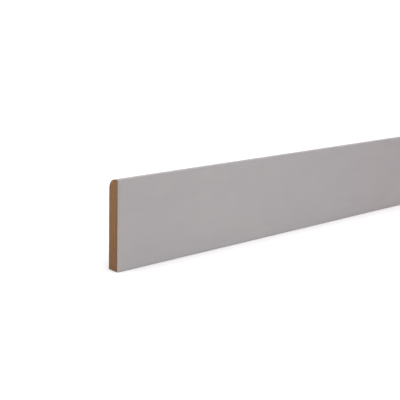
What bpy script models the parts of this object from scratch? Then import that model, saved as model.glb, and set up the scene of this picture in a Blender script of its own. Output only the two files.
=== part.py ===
# Skirting board: a planed softwood moulding with a flat back, one rounded edge and square-cut ends.
# It stands on its floor edge, the way it is fixed: +Z up, its length along X, the wall side at +Y.
# The origin is the middle of the floor edge. All lengths are in metres.

import math

import bpy

# Driving sizes
BOARD_LENGTH = 0.500  # cut square where the picture stops
BOARD_HEIGHT = 0.094  # finished height of a nominal 100 mm board
BOARD_THICKNESS = 0.0145  # finished thickness of a nominal 19 mm board
NOSE_RADIUS = 0.0105  # rounded top edge, on the side that faces the room
ARRIS_RADIUS = 0.0005  # light easing of the three square long edges

# Smoothness of the round stretches, in segments for a quarter turn
NOSE_SEGMENTS = 24
ARRIS_SEGMENTS = 3

# Primer finish
PRIMER_COLOUR = (0.40, 0.38, 0.385, 1.0)
PRIMER_ROUGHNESS = 0.6


def clear_scene():
    for obj in list(bpy.data.objects):
        bpy.data.objects.remove(obj, do_unlink=True)


def primer_material():
    material = bpy.data.materials.new("primer")
    material.use_nodes = True
    shader = material.node_tree.nodes["Principled BSDF"]
    shader.inputs["Base Color"].default_value = PRIMER_COLOUR
    shader.inputs["Roughness"].default_value = PRIMER_ROUGHNESS
    shader.inputs["Metallic"].default_value = 0.0
    material.diffuse_color = PRIMER_COLOUR
    return material


def quarter_round(centre, radius, start, segments):
    # Points of a quarter turn, anticlockwise from the start angle in degrees.
    points = []
    for step in range(segments + 1):
        angle = math.radians(start + 90 * step / segments)
        points.append((centre[0] + radius * math.cos(angle), centre[1] + radius * math.sin(angle)))
    return points


def section_outline():
    # The cross-section as (y, z) points, anticlockwise from the room side of the floor edge.
    room = -BOARD_THICKNESS / 2
    wall = BOARD_THICKNESS / 2
    arris = ARRIS_RADIUS
    nose = NOSE_RADIUS
    outline = quarter_round((room + arris, arris), arris, 180, ARRIS_SEGMENTS)
    outline += quarter_round((wall - arris, arris), arris, 270, ARRIS_SEGMENTS)
    outline += quarter_round((wall - arris, BOARD_HEIGHT - arris), arris, 0, ARRIS_SEGMENTS)
    outline += quarter_round((room + nose, BOARD_HEIGHT - nose), nose, 90, NOSE_SEGMENTS)
    return outline


def skirting_board(collection):
    # The outline is drawn flat and extruded both ways from the middle of the length.
    outline = section_outline()
    curve = bpy.data.curves.new("skirting_board", "CURVE")
    curve.dimensions = "2D"
    curve.fill_mode = "BOTH"
    curve.extrude = BOARD_LENGTH / 2
    spline = curve.splines.new("POLY")
    spline.points.add(len(outline) - 1)
    for point, (y, z) in zip(spline.points, outline):
        point.co = (y, z, 0.0, 1.0)
    spline.use_cyclic_u = True
    board = bpy.data.objects.new("skirting_board", curve)
    # Turned so that the drawing's width runs along Y, its height along Z and the extrusion along X.
    board.rotation_euler = (math.radians(90), 0.0, math.radians(90))
    curve.materials.append(primer_material())
    collection.objects.link(board)
    return board


def main():
    clear_scene()
    collection = bpy.data.collections.new("skirting_board")
    bpy.context.scene.collection.children.link(collection)
    skirting_board(collection)
    bpy.context.view_layer.update()


main()
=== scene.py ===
import math

import bpy
import numpy as np
from mathutils import Matrix, Vector


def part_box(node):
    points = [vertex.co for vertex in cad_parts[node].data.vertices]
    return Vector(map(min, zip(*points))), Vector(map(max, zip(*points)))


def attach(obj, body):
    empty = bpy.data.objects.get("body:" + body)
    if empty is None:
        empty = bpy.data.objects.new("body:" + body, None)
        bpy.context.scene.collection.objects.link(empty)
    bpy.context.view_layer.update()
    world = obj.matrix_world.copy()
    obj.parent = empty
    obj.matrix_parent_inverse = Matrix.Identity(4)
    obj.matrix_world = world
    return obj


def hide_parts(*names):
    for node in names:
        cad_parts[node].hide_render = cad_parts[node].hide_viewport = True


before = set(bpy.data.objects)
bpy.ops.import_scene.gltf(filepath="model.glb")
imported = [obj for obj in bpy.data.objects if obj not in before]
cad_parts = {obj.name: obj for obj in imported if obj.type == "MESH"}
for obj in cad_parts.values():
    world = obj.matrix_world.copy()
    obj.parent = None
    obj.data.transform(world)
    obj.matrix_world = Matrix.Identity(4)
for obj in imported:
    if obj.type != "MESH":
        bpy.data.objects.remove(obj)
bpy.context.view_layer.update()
mm = 0.001  # lengths are in millimetres where no note says otherwise, and the scene is in metres
boardLow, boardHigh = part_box("skirting_board")
boardLength, boardThickness, boardHeight = (boardHigh - boardLow) / mm
print("frame loaded")


# A value travelling through a material: sums and products on it add Math nodes.
class Signal:
    def __init__(self, sheet, socket):
        self.sheet = sheet
        self.socket = socket

    def math(self, operation, *others):
        return self.sheet.math(operation, self, *others)

    def __add__(self, other):
        return self.math("ADD", other)

    def __radd__(self, other):
        return self.sheet.math("ADD", other, self)

    def __sub__(self, other):
        return self.math("SUBTRACT", other)

    def __rsub__(self, other):
        return self.sheet.math("SUBTRACT", other, self)

    def __mul__(self, other):
        return self.math("MULTIPLY", other)

    def __rmul__(self, other):
        return self.sheet.math("MULTIPLY", other, self)

    def __truediv__(self, other):
        return self.math("DIVIDE", other)

    def __rtruediv__(self, other):
        return self.sheet.math("DIVIDE", other, self)


# The node tree of one material, or of the studio's surroundings.
class NodeSheet:
    def __init__(self, owner, shader="Principled BSDF"):
        owner.use_nodes = True
        self.owner = owner
        self.tree = owner.node_tree
        self.shader = self.tree.nodes[shader]

    def feed(self, socket, value):
        if isinstance(value, Signal):
            self.tree.links.new(value.socket, socket)
        else:
            socket.default_value = value

    def add(self, kind, settings=None, inputs=None, output=0):
        node = self.tree.nodes.new(kind)
        for name, value in (settings or {}).items():
            if name == "stops":  # a ramp's colours, as (place, colour) pairs
                elements = node.color_ramp.elements
                while len(elements) < len(value):
                    elements.new(1.0)
                for element, (place, colour) in zip(elements, value):
                    element.position = place
                    element.color = colour
            else:
                setattr(node, name, value)
        for name, value in (inputs or {}).items():
            self.feed(node.inputs[name], value)
        return Signal(self, node.outputs[output])

    def math(self, operation, *values):
        return self.add("ShaderNodeMath", {"operation": operation}, dict(enumerate(values)))

    def mix(self, factor, colourA, colourB, blend="MIX"):
        # Inputs 6 and 7 are the node's two colours, and output 2 is its colour.
        settings = {"data_type": "RGBA", "blend_type": blend}
        return self.add("ShaderNodeMix", settings, {0: factor, 6: colourA, 7: colourB}, 2)

    def noise(self, where, scale, detail, roughness=0.5):
        inputs = {"Vector": where, "Scale": scale, "Detail": detail, "Roughness": roughness}
        return self.add("ShaderNodeTexNoise", {}, inputs)

    def stretched(self, where, factors):
        return self.add("ShaderNodeVectorMath", {"operation": "MULTIPLY"}, {0: where, 1: factors})

    def streaks(self, where, scales, detail, roughness=0.5):  # noise drawn out along the board
        return self.noise(self.stretched(where, scales), 1.0, detail, roughness)

    def toned(self, colour, tone):  # darker below 1, paler above
        grey = self.add("ShaderNodeCombineColor", {}, {0: tone, 1: tone, 2: tone})
        return self.mix(1.0, colour, grey, "MULTIPLY")

    def step(self, value, start, end):  # 0 before start, 1 after end, smooth between
        inputs = {"Value": value, "From Min": start, "From Max": end}
        return self.add("ShaderNodeMapRange", {"interpolation_type": "SMOOTHSTEP"}, inputs)

    def bump(self, height, distance, before=None):
        inputs = {"Height": height, "Distance": distance, "Strength": 1.0}
        if before is not None:
            inputs["Normal"] = before
        return self.add("ShaderNodeBump", {}, inputs)

    def finish(self, **sockets):
        for name, value in sockets.items():
            self.feed(self.shader.inputs[name.replace("_", " ")], value)
        return self.owner


# These four take a Signal in a material and an array in a mesh, so both show the same wood.
def sine(value):
    return value.math("SINE") if isinstance(value, Signal) else np.sin(value)


def squareRoot(value):
    return value.math("SQRT") if isinstance(value, Signal) else np.sqrt(value)


def fraction(value):
    return value.math("FRACT") if isinstance(value, Signal) else value - np.floor(value)


def ease(value, start, end):
    if isinstance(value, Signal):
        return value.sheet.step(value, start, end)
    share = np.clip((value - start) / (end - start), 0, 1)
    return share * share * (3 - 2 * share)


# Noises here and below are given as scale, detail and roughness. Streaks have a scale along x, y and z.
pine = {
    "pith": (242.0, 44.0),  # y and z of the tree's middle, beyond the wall side
    "ringGap": 3.5,
    "wander": (  # waves in the rings: size, turn along x and z, start
        (1.9, 0.011, 0.0, 0.6),
        (1.1, 0.027, 0.0, 2.1),
        (0.3, 0.061, -0.03, 4.0),
        (0.17, 0.09, 0.29, 0.0),
        (0.07, -0.05, 0.71, 1.0),
    ),
    "fatYears": ((0.28, 1.7, 0.4), (0.17, 0.61, 1.2)),  # uneven ring widths: size, turn, start
    "darkBand": (0.5, 0.9, 0.97),  # where in a ring its dark band starts, is full and ends
    "ringColours": (  # from the pale part of a ring to the dark band
        (0.0, (0.325, 0.170, 0.072, 1.0)),
        (0.5, (0.289, 0.141, 0.052, 1.0)),
        (1.0, (0.189, 0.085, 0.033, 1.0)),
    ),
    "greyColour": (0.241, 0.143, 0.090, 1.0),
    "greyPatches": ((0.01, 0.2, 0.045), 2.0),
    "greyBands": (0.2, 0.6, -1.0),  # a wave across the thickness that shifts them: size, turn, start
    "greyRange": (0.42, 0.66),  # of the patches
    "greyShare": 0.75,
    "shadeRise": 0.0023,  # painted shade: how much paler the wood is drawn in a millimetre upwards, as if lit from above
    "fibreColour": (0.05, 0.028, 0.012, 1.0),
    "fibres": ((0.3, 4.5, 3.2), 4.0, 0.7),
    "fibreContrast": 0.9,
}


def ringCount(x, y, z):  # how many rings a point lies from the pith
    pithY, pithZ = pine["pith"]
    reach = squareRoot((y - pithY) * (y - pithY) + (z - pithZ) * (z - pithZ))
    for size, alongX, alongZ, start in pine["wander"]:
        reach = reach + size * sine(x * alongX + z * alongZ + start)
    evenRings = reach / pine["ringGap"]
    rings = evenRings
    for size, turn, start in pine["fatYears"]:
        rings = rings + size * sine(evenRings * turn + start)
    return rings


def latewood(x, y, z):  # 1 in the dense dark band that closes a year's ring
    start, full, end = pine["darkBand"]
    place = fraction(ringCount(x, y, z))
    return ease(place, start, full) * (1 - ease(place, end, 1.0))


saw = {
    "centre": (210.0, -60.0),  # y and z of the blade's middle
    "turn": 5.2,  # radians of a saw mark in a millimetre, which puts them 1.2 mm apart
    "markDepth": 0.03,
    "markWaves": (5, (50, 9, 30), 5),
    "markWander": 0.8,
    "chipStart": -0.36,  # chips are rarer the lower this is
    "chips": (  # waves that leave a chip where they add up: size, turn along y and z, start
        (0.3, 1.9, 2.3, 0.0),
        (0.27, -1.3, 3.9, 1.7),
        (0.25, 2.7, -5.3, 0.6),
        (0.24, 0.7, 0.53, 2.2),
    ),
}


def sawSweep(y, z):  # the angle whose sine makes the arcs that the saw's teeth leave
    centreY, centreZ = saw["centre"]
    return squareRoot((y - centreY) * (y - centreY) + (z - centreZ) * (z - centreZ)) * saw["turn"]


def chipReach(y, z):  # how far along the board the saw broke the coat away from the cut
    reach = saw["chipStart"]
    for size, alongY, alongZ, start in saw["chips"]:
        reach = reach + size * sine(y * alongY + z * alongZ + start)
    return reach


board = {
    "noseRadius": 10.5,
    "arrisRadius": 0.5,
    "noseSteps": 30,
    "arrisSteps": 5,
    "rowGap": 0.45,  # mesh spacing up the height
    "columns": 34,  # mesh points across the thickness
    "crowding": 0.35,  # how much the columns crowd towards the two long faces
    "stationGap": 8.0,  # mesh spacing along the length
    "endStations": (0.0, 0.22, 0.5, 0.9, 1.4, 2.1, 3.2, 4.8),  # closer spacing at the cuts
    "sharpAngle": 38.0,
    "bow": 0.12,
    "bowWaves": (11, (260, 60, 80), 7),
    "grainRelief": 0.03,
    "floorFacing": -0.9,  # a surface whose direction goes further down than this faces the floor
    "floorEdgeRelief": 0.15,  # share that the floor edge keeps, so that the board sits flat
    "cutBevel": 0.15,
    "chipDepth": 0.35,  # share of a chip's reach
    "cutInset": 0.5,  # keeps the mesh of the cut inside the chipped outline
    "ringRelief": 0.07,
    "fibreRelief": 0.04,
    "fibreWaves": (23, (50, 1.6, 2.1), 9),
    "reliefFade": 3.0,  # the cut's relief dies out this far under the top, where the mesh rows crowd
}


def waves(x, y, z, seed, lengths, count):
    # Swells between -1 and 1: count sine waves in random directions, 0.7 to 1.4 times as long as lengths.
    dice = np.random.default_rng(seed)
    total = np.zeros_like(x)
    for turn in range(count):
        k = 2 * math.pi / (np.array(lengths) * dice.uniform(0.7, 1.4, 3)) * dice.choice([-1, 1], 3)
        total += np.sin(x * k[0] + y * k[1] + z * k[2] + dice.uniform(0, 6.28))
    return total / count


def sectionGrid(settings):
    # The section's points as rows from the floor up, each from the room side to the wall side.
    nose = settings["noseRadius"]
    arris = settings["arrisRadius"]
    noseFoot = boardHeight - nose
    quarter = math.pi / 2
    low = arris * (1 - np.cos(np.linspace(0, quarter, settings["arrisSteps"] + 1)))
    middle = np.linspace(arris, noseFoot, round((noseFoot - arris) / settings["rowGap"]) + 1)
    high = noseFoot + nose * np.sin(np.linspace(0, quarter, settings["noseSteps"] + 1))
    rows = np.concatenate([low[:-1], middle[:-1], high])

    # How far each row is drawn in at its two ends by the nose and the eased edges.
    below = np.clip(arris - rows, 0, arris)
    above = np.clip(rows - noseFoot, 0, nose)
    top = np.clip(rows - (boardHeight - arris), 0, arris)
    foot = arris - np.sqrt(arris**2 - below**2)
    room = foot + nose - np.sqrt(nose**2 - above**2) - boardThickness / 2
    wall = boardThickness / 2 - (foot + arris - np.sqrt(arris**2 - top**2))

    crowding = settings["crowding"]
    crowded = (1 - np.cos(np.linspace(0, math.pi, settings["columns"]))) / 2
    share = crowded * crowding + np.linspace(0, 1, settings["columns"]) * (1 - crowding)
    gridY = room[:, None] + (wall - room)[:, None] * share[None, :]
    gridZ = np.repeat(rows[:, None], settings["columns"], axis=1)
    return gridY, gridZ


def sectionOutline(gridY, gridZ):
    # Anticlockwise seen from +X: floor edge, wall side, top, room side. Gives the outline's places in
    # the grid, its points, and the directions that face out of the board.
    rowCount, columnCount = gridY.shape
    loop = [(0, j) for j in range(columnCount)]
    loop += [(i, columnCount - 1) for i in range(1, rowCount)]
    loop += [(rowCount - 1, j) for j in range(columnCount - 2, -1, -1)]
    loop += [(i, 0) for i in range(rowCount - 2, 0, -1)]
    loop = tuple(np.array(loop).T)
    y, z = gridY[loop], gridZ[loop]
    runY = np.roll(y, -1) - np.roll(y, 1)
    runZ = np.roll(z, -1) - np.roll(z, 1)
    run = np.hypot(runY, runZ)
    return loop, y, z, runZ / run, -runY / run


def lengthStations(settings):
    # Where the mesh has a ring of points along the board.
    half = boardLength / 2
    near = np.array(settings["endStations"])
    evenCount = round((boardLength - 2 * near[-1]) / settings["stationGap"]) + 1
    even = np.linspace(-half + near[-1], half - near[-1], evenCount)
    return np.concatenate([-half + near[:-1], even, half - near[-2::-1]])


def sideSink(settings, x, y, z, outZ):
    # How far the long sides lie inside the true section: bow, grain, and the eased and chipped cuts.
    fromCut = boardLength / 2 - np.abs(x)
    sink = settings["bow"] * (0.5 + 0.5 * waves(x, y, z, *settings["bowWaves"]))
    sink += settings["grainRelief"] * (1 - latewood(x, y, z))
    sink[:, outZ < settings["floorFacing"]] *= settings["floorEdgeRelief"]
    sink += np.clip(settings["cutBevel"] - fromCut, 0, None)
    sink += settings["chipDepth"] * np.clip(chipReach(y, z) - fromCut, 0, None)
    return sink


def cutSink(settings, x, y, z):
    # How far a sawn end lies inside its plane: soft wood between the rings, saw marks and torn fibres.
    sink = settings["ringRelief"] * (1 - latewood(x, y, z))
    wander = saw["markWander"] * waves(x, y, z, *saw["markWaves"])
    sink += saw["markDepth"] * (1 + np.sin(sawSweep(y, z) + wander))
    sink += settings["fibreRelief"] * (1 + waves(x, y, z, *settings["fibreWaves"]))
    return sink * ease(boardHeight - z, 0, settings["reliefFade"])


def boardMesh(settings):
    gridY, gridZ = sectionGrid(settings)
    loop, ringY, ringZ, outY, outZ = sectionOutline(gridY, gridZ)
    stations = lengthStations(settings)
    around = len(ringY)

    x = np.repeat(stations[:, None], around, axis=1)
    y = np.repeat(ringY[None, :], len(stations), axis=0)
    z = np.repeat(ringZ[None, :], len(stations), axis=0)
    sink = sideSink(settings, x, y, z, outZ)
    points = [np.stack([x, y - outY * sink, z - outZ * sink], axis=-1).reshape(-1, 3)]
    here = np.arange(around)
    after = np.roll(here, -1)
    strip = np.stack([here, after, around + after, around + here], axis=-1)
    faces = [strip + k * around for k in range(len(stations) - 1)]
    sideFaces = around * len(faces)

    # The two sawn ends share the outline's points with the sides.
    pointCount = around * len(stations)
    middleZ = boardHeight / 2
    insetY = gridY * (1 - settings["cutInset"] / (boardThickness / 2))
    insetZ = middleZ + (gridZ - middleZ) * (1 - settings["cutInset"] / middleZ)
    for station, way in ((0, -1), (len(stations) - 1, 1)):
        index = np.full(gridY.shape, -1)
        index[loop] = station * around + here
        inside = index < 0
        index[inside] = pointCount + np.arange(inside.sum())
        pointCount += inside.sum()
        endX = np.full(gridY.shape, way * boardLength / 2)
        sink = cutSink(settings, endX, gridY, gridZ)
        points.append(np.stack([endX - way * sink, insetY, insetZ], axis=-1)[inside])
        corners = [index[:-1, :-1], index[:-1, 1:], index[1:, 1:], index[1:, :-1]]
        quads = np.stack(corners, axis=-1).reshape(-1, 4)
        faces.append(quads if way > 0 else quads[:, ::-1])
    points = np.concatenate(points) * mm
    faces = np.concatenate(faces)

    mesh = bpy.data.meshes.new("skirtingBoard")
    mesh.from_pydata(points.tolist(), [], faces.tolist())
    sawn = np.arange(len(faces)) >= sideFaces
    mesh.polygons.foreach_set("material_index", sawn.astype(np.int32))
    mesh.shade_smooth()
    mesh.set_sharp_from_angle(angle=math.radians(settings["sharpAngle"]))
    mesh.update()
    return mesh


primer = {
    "colour": (0.352, 0.338, 0.345, 1.0),
    "warmColour": (0.365, 0.342, 0.338, 1.0),
    "warmRange": (0.4, 0.7),  # of the mottle
    "warmShare": 0.35,
    # Painted shade: the coat is drawn darker and warmer towards the -X end, in place of light falling off
    # along the board.
    "farShadeColour": (0.352, 0.325, 0.334, 1.0),
    "farShadeStart": 90.0,  # x from where the painted shade begins, a darker and warmer coat all the way at the -X end
    "farShadeFade": 0.024,
    "mottle": (0.035, 3.0),
    "mottleTone": 0.05,
    "streaks": ((0.012, 0.5, 0.5), 4.0, 0.6),
    "streakTone": 0.056,
    "streakRoughness": 0.16,
    "fibres": ((0.05, 2.2, 2.2), 3.0, 0.6),
    "fibreTone": 0.09,
    "grainTone": 0.014,  # how much darker the dense wood shows through
    "grainHeight": 0.03,
    "grainShare": 0.7,  # of that height, the fibres have the rest
    "peel": (1.4, 3.0),
    "peelHeight": 0.07,
    "roughness": 0.6,
    "shine": 0.35,
    "cutColour": (0.386, 0.326, 0.300, 1.0),  # thin beside the saw cut, so the wood tints it
    "cutRange": (0.3, 2.4),  # from the cut
    "cutEdge": (0.9, 3.0, 0.6),
    "cutRagged": 1.2,
    "chipEdge": ((0.9, 3.0, 3.0), 2.0),
    "chipRagged": 1.3,
    "chipBlend": 0.16,
}

sawnEnd = {
    "roughness": 0.85,
    "shine": 0.2,
    "fibres": (3.2, 3.0, 0.6),
    "fibreHeight": 0.12,
    "markHeight": 0.02,
    "lip": 0.35,  # width of the primer that runs over the edge of the cut
    "lipShare": 0.85,
    "lipEdge": (1.1, 3.0, 0.6),
    "lipRagged": 1.3,
    "lipMiddle": 0.35,
    "lipChipped": (-0.2, 0.05),  # chip reach over which the lip is gone
}


def boardPlace(sheet):
    place = sheet.add("ShaderNodeTexCoord", output=3)  # the piece's own coordinates, as modelled
    where = sheet.stretched(place, (1 / mm, 1 / mm, 1 / mm))
    x = sheet.add("ShaderNodeSeparateXYZ", {}, {0: where})
    y = Signal(sheet, x.socket.node.outputs[1])
    z = Signal(sheet, x.socket.node.outputs[2])
    return where, x, y, z


def fromOutline(y, z):
    # Distance of a point on the cut from the outline, round the nose too.
    half = boardThickness / 2
    nose = board["noseRadius"]
    toSides = (half - y).math("MINIMUM", y + half)
    toEdges = toSides.math("MINIMUM", z.math("MINIMUM", boardHeight - z))
    acrossNose = (nose - half - y).math("MAXIMUM", 0.0)
    upNose = (z - (boardHeight - nose)).math("MAXIMUM", 0.0)
    toNose = nose - squareRoot(acrossNose * acrossNose + upNose * upNose)
    return toEdges.math("MINIMUM", toNose)


def pineColour(sheet, where, x, y, z):
    body = sheet.add("ShaderNodeValToRGB", {"stops": pine["ringColours"]}, {0: latewood(x, y, z)})
    size, turn, start = pine["greyBands"]
    patches = sheet.streaks(where, *pine["greyPatches"]) + size * sine(y * turn + start)
    grey = sheet.step(patches, *pine["greyRange"])
    body = sheet.mix(grey * pine["greyShare"], body, pine["greyColour"])
    # Painted shade: the wood is drawn darker towards the floor edge and paler towards the top.
    body = sheet.toned(body, 1 + (z - boardHeight / 2) * pine["shadeRise"])
    dark = sheet.mix(0.5, body, pine["fibreColour"])
    fibres = sheet.streaks(where, *pine["fibres"])
    return sheet.mix((fibres - 0.5) * pine["fibreContrast"] + 0.5, body, dark)


def primedWood():
    sheet = NodeSheet(bpy.data.materials.new("primedPine"))
    where, x, y, z = boardPlace(sheet)
    mottle = sheet.noise(where, *primer["mottle"])
    streaks = sheet.streaks(where, *primer["streaks"])
    fibres = sheet.streaks(where, *primer["fibres"])
    grain = latewood(x, y, z)
    # Painted shade: a darker and warmer coat towards the -X end, in place of light falling off along the
    # board.
    farShade = sheet.step(x, primer["farShadeStart"], -boardLength / 2)

    warm = sheet.step(mottle, *primer["warmRange"]) * primer["warmShare"]
    colour = sheet.mix(warm, primer["colour"], primer["warmColour"])
    colour = sheet.mix(farShade, colour, primer["farShadeColour"])
    tone = 1 + (mottle - 0.5) * primer["mottleTone"] + (streaks - 0.5) * primer["streakTone"]
    tone = tone + (fibres - 0.5) * primer["fibreTone"] - grain * primer["grainTone"]
    tone = tone - farShade * primer["farShadeFade"]
    colour = sheet.toned(colour, tone)

    fromCut = boardLength / 2 - x.math("ABSOLUTE")
    ragged = (sheet.noise(where, *primer["cutEdge"]) - 0.5) * primer["cutRagged"]
    cut = 1 - sheet.step(fromCut + ragged, *primer["cutRange"])
    colour = sheet.mix(cut, colour, primer["cutColour"])
    splinters = (sheet.streaks(where, *primer["chipEdge"]) - 0.5) * primer["chipRagged"]
    chip = sheet.step(chipReach(y, z) + splinters - fromCut, 0.0, primer["chipBlend"])
    colour = sheet.mix(chip, colour, pineColour(sheet, where, x, y, z))

    normal = sheet.bump(sheet.noise(where, *primer["peel"]), primer["peelHeight"] * mm)
    relief = grain * primer["grainShare"] + fibres * (1 - primer["grainShare"])
    normal = sheet.bump(relief, primer["grainHeight"] * mm, normal)
    roughness = primer["roughness"] + (streaks - 0.5) * primer["streakRoughness"]
    shine = primer["shine"]
    return sheet.finish(Base_Color=colour, Roughness=roughness, Normal=normal, Specular_IOR_Level=shine)


def sawnWood():
    sheet = NodeSheet(bpy.data.materials.new("sawnPine"))
    where, x, y, z = boardPlace(sheet)
    colour = pineColour(sheet, where, x, y, z)
    ragged = (sheet.noise(where, *sawnEnd["lipEdge"]) - sawnEnd["lipMiddle"]) * sawnEnd["lipRagged"]
    lip = 1 - sheet.step(fromOutline(y, z) - ragged, sawnEnd["lip"] / 2, sawnEnd["lip"])
    lip = lip * (1 - sheet.step(chipReach(y, z), *sawnEnd["lipChipped"]))
    colour = sheet.mix(lip * sawnEnd["lipShare"], colour, primer["colour"])
    normal = sheet.bump(sheet.noise(where, *sawnEnd["fibres"]), sawnEnd["fibreHeight"] * mm)
    normal = sheet.bump(sine(sawSweep(y, z)), sawnEnd["markHeight"] * mm, normal)
    roughness, shine = sawnEnd["roughness"], sawnEnd["shine"]
    return sheet.finish(Base_Color=colour, Roughness=roughness, Normal=normal, Specular_IOR_Level=shine)


skirting = bpy.data.objects.new("skirtingBoard", boardMesh(board))
bpy.context.scene.collection.objects.link(skirting)
skirting.data.materials.append(primedWood())
skirting.data.materials.append(sawnWood())
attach(skirting, "root")
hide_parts("skirting_board")
print("board dressed:", len(skirting.data.polygons), "faces")


studio = {  # in metres and degrees
    "floorSize": 60.0,
    "floorDrop": 0.0002,  # keeps the floor clear of the board's underside
    "floorColour": (0.80, 0.805, 0.815, 1.0),
    "floorRoughness": 0.9,
    "wallLight": 1.03,  # the white surroundings, up to the first height above the horizon
    "ceilingLight": 0.2,  # and above the second
    "heights": (12.0, 24.0),
    "topLight": 3.3,
    "topColour": (1.0, 0.975, 0.955),
    "topSoftness": 50.0,
    "topTilt": (-7.0, 10.0, 0.0),
    "softBoxes": (  # watts and place; the first is close, so its light falls off along the wall side
        ("wallSideBox", 0.33, (0.1, 0.45, 0.17)),
        ("roomSideBox", 1.4, (-0.1, -0.8, 0.4)),
    ),
    "boxWidth": 0.34,
}


def studioFloor(settings):
    mesh = bpy.data.meshes.new("studioFloor")
    reach = settings["floorSize"] / 2
    corners = [(-reach, -reach, 0), (reach, -reach, 0), (reach, reach, 0), (-reach, reach, 0)]
    mesh.from_pydata(corners, [], [(0, 1, 2, 3)])
    floor = bpy.data.objects.new("studioFloor", mesh)
    floor.location.z = -settings["floorDrop"]
    bpy.context.scene.collection.objects.link(floor)
    sheet = NodeSheet(bpy.data.materials.new("studioFloor"))
    colour, roughness = settings["floorColour"], settings["floorRoughness"]
    mesh.materials.append(sheet.finish(Base_Color=colour, Roughness=roughness, Specular_IOR_Level=0.0))


def studioLight(settings):
    sheet = NodeSheet(bpy.data.worlds.new("studio"), "Background")
    towards = sheet.add("ShaderNodeTexCoord")
    up = sheet.add("ShaderNodeSeparateXYZ", {}, {0: towards}, 2)
    low, high = (math.sin(math.radians(height)) for height in settings["heights"])
    dimmed = sheet.step(up, low, high) * (settings["wallLight"] - settings["ceilingLight"])
    bpy.context.scene.world = sheet.finish(Color=(1, 1, 1, 1), Strength=settings["wallLight"] - dimmed)
    lamp = bpy.data.lights.new("topLight", "SUN")
    lamp.energy = settings["topLight"]
    lamp.color = settings["topColour"]
    lamp.angle = math.radians(settings["topSoftness"])
    top = bpy.data.objects.new("topLight", lamp)
    top.rotation_euler = [math.radians(angle) for angle in settings["topTilt"]]
    bpy.context.scene.collection.objects.link(top)
    for name, watts, place in settings["softBoxes"]:
        lamp = bpy.data.lights.new(name, "AREA")
        lamp.energy = watts
        lamp.size = settings["boxWidth"]
        box = bpy.data.objects.new(name, lamp)
        box.location = place
        box.rotation_euler = (-box.location).to_track_quat("-Z", "Y").to_euler()
        bpy.context.scene.collection.objects.link(box)


studioFloor(studio)
studioLight(studio)
print("studio ready")


view = {
    "fromNearCorner": (489.5, 646.0, 270.0),  # along the board, out from its wall side, and up
    "turn": 42.8,
    "tilt": 13.48,
    "roll": 1.73,
    "lens": 76.87,
    "sensor": 36.0,
}


def studioCamera(settings):
    # The near corner is the lower one at +X on the wall side.
    corner = Vector((boardHigh.x, boardHigh.y, 0))
    place = corner + Vector(settings["fromNearCorner"]) * mm
    turn, tilt, roll = (math.radians(settings[name]) for name in ("turn", "tilt", "roll"))
    level = math.cos(tilt)
    ahead = Vector((-math.sin(turn) * level, -math.cos(turn) * level, -math.sin(tilt)))
    right = Vector((-math.cos(turn), math.sin(turn), 0))
    above = right.cross(ahead)
    across = math.cos(roll) * right + math.sin(roll) * above
    above = math.cos(roll) * above - math.sin(roll) * right
    lens = bpy.data.cameras.new("camera")
    lens.lens = settings["lens"]
    lens.sensor_width = settings["sensor"]
    camera = bpy.data.objects.new("camera", lens)
    turned = Matrix((across, above, -ahead)).transposed().to_4x4()
    camera.matrix_world = Matrix.Translation(place) @ turned
    bpy.context.scene.collection.objects.link(camera)
    bpy.context.scene.camera = camera


studioCamera(view)
bpy.context.scene.view_settings.view_transform = "Standard"
print("camera placed")
